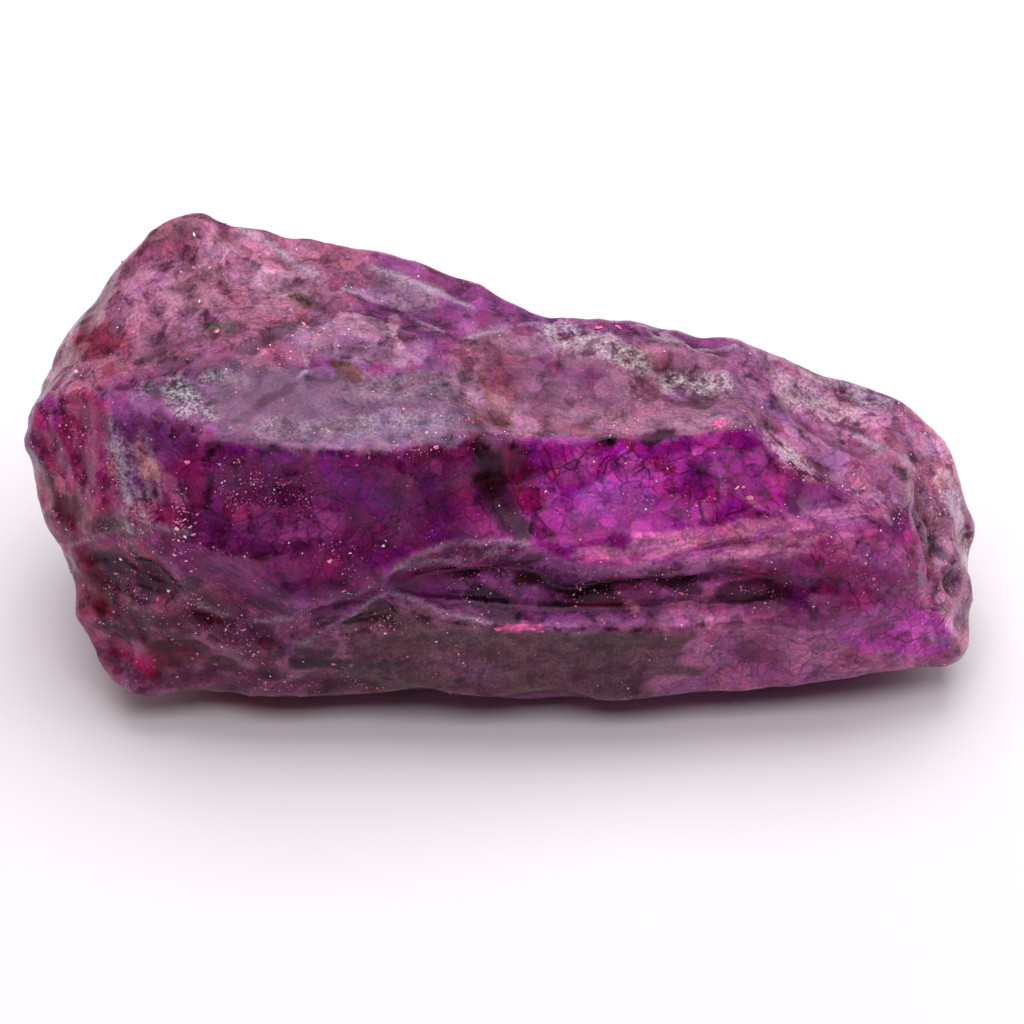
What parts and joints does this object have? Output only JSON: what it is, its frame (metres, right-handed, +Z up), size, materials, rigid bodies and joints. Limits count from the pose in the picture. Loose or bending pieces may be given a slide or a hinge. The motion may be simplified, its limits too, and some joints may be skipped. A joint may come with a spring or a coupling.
{
  "type": "rough sapphire",
  "caption": "Uncut lump of violet to magenta sapphire, broken on all sides, lying on a flat foot as a specimen or as cutting rough.",
  "frame": {"origin": "centre of the bounding box in plan, at the level of the flat foot that the stone lies on", "axes": "+X along the stone from its thick lobed end to its tapered end, +Y towards its rounded back, +Z up"},
  "size_m": [0.06, 0.0252, 0.0241],
  "materials": {
    "sapphire": "freshly broken, softly glossy"
  },
  "bodies": {
    "root": {"sapphire": "sapphire"}
  },
  "joints": []
}
